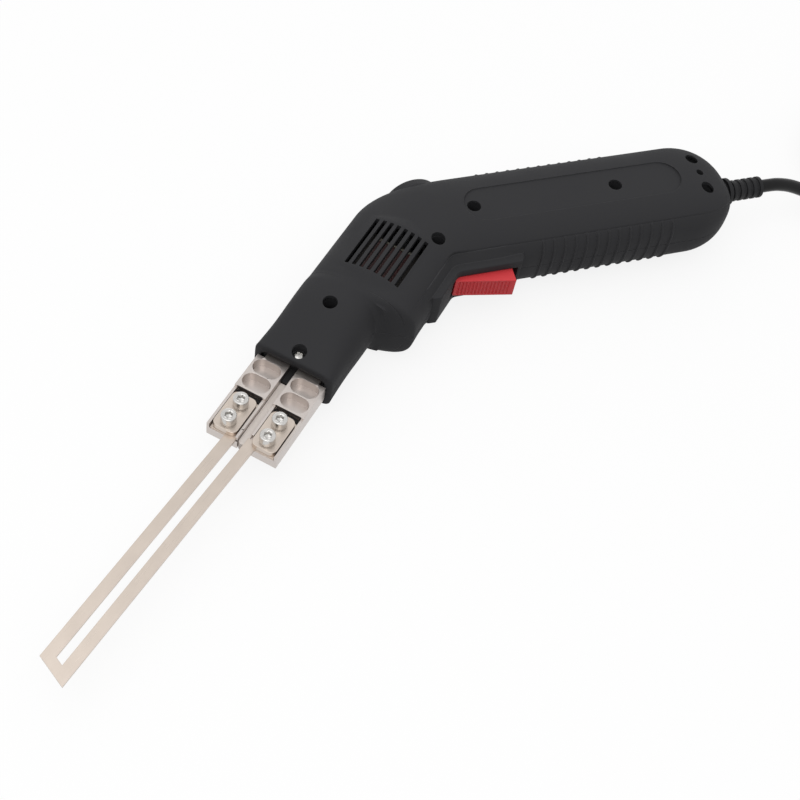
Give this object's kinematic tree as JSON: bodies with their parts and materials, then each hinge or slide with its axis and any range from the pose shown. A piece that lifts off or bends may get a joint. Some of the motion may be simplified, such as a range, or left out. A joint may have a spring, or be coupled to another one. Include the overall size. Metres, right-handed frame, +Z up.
{
  "type": "electric hot knife",
  "caption": "Pistol-bent mains hot knife: split moulded housing with a vented barrel, trigger, heat dial, terminal blocks that clamp a slotted blade strip, and a coiled cord with plug.",
  "frame": {"origin": "bottom centre of the tool's box, without the cord, as it lies on its side", "axes": "+X along the grip towards the cord, +Y towards the spine of the grip, +Z up through the two shells"},
  "size_m": [0.5616, 0.2535, 0.044],
  "materials": {
    "housing_plastic": "fine grained moulding",
    "black_screw": "black oxide",
    "bright_screw": "bright",
    "terminal_nickel": "nickel plated, satin",
    "blade_nickel": "rolled strip, warm",
    "insulator_black": "moulded",
    "copper": "rolled copper",
    "core_steel": "varnished laminations",
    "bobbin_plastic": "moulded",
    "winding_red": "varnished wire under tape",
    "fan_plastic": "moulded",
    "board_green": "solder mask",
    "pot_metal": "pressed can",
    "dial_plastic": "moulded",
    "capacitor_yellow": "boxed film",
    "trigger_red": "satin moulding",
    "boot_rubber": "moulded",
    "cord_black": "extruded sheath",
    "tie_plastic": "strap",
    "plug_plastic": "moulded",
    "pin_metal": "nickel plated"
  },
  "bodies": {
    "housing": {"upper_shell": "housing_plastic", "lower_shell": "housing_plastic", "shell_screws": "black_screw", "nose_screw": "bright_screw", "spine_terminal": "terminal_nickel", "trigger_terminal": "terminal_nickel", "spine_clamp_plate": "blade_nickel", "trigger_clamp_plate": "blade_nickel", "clamp_screws": "bright_screw", "clamp_washers": "bright_screw", "blade": "blade_nickel", "nose_insulator": "insulator_black", "secondary_straps": "copper", "transformer_core": "core_steel", "transformer_bobbin": "bobbin_plastic", "primary_winding": "winding_red", "fan_frame": "fan_plastic", "control_board": "board_green", "potentiometer": "pot_metal", "triac": "insulator_black", "capacitor": "capacitor_yellow", "switch_body": "fan_plastic", "trigger_pin": "bright_screw", "cord_boot": "boot_rubber", "cord_clamp": "fan_plastic", "cord_clamp_screws": "bright_screw", "cord": "cord_black", "cord_coil": "cord_black", "coil_tie": "tie_plastic", "plug_body": "plug_plastic", "plug_pins": "pin_metal"},
    "trigger": {"trigger": "trigger_red"},
    "plunger": {"switch_plunger": "bobbin_plastic"},
    "dial": {"dial": "dial_plastic", "potentiometer_shaft": "pot_metal"},
    "fan": {"fan_rotor": "fan_plastic"}
  },
  "joints": [
    {"name": "trigger_pull", "type": "hinge", "parent": "housing", "child": "trigger", "pos_m": [0.02049, 0.05664, 0.022], "axis": [0, 0, 1], "range_deg": [0, 9], "stiffness_Nm_per_rad": 0.3},
    {"name": "plunger_slide", "type": "slide", "parent": "housing", "child": "plunger", "axis": [0, 1, 0], "range_m": [0, 0.0032]},
    {"name": "dial_turn", "type": "hinge", "parent": "housing", "child": "dial", "pos_m": [0.01349, 0.10224, 0.022], "axis": [-0.0698, 0.9976, 0], "range_deg": [-135, 135]},
    {"name": "fan_spin", "type": "hinge", "parent": "housing", "child": "fan", "pos_m": [0.00763, 0.08671, 0.022], "axis": [-0.7071, -0.7071, 0], "continuous": true}
  ],
  "couplings": [
    {"joint": "plunger_slide", "follows": "trigger_pull", "m_per_rad": 0.02}
  ]
}
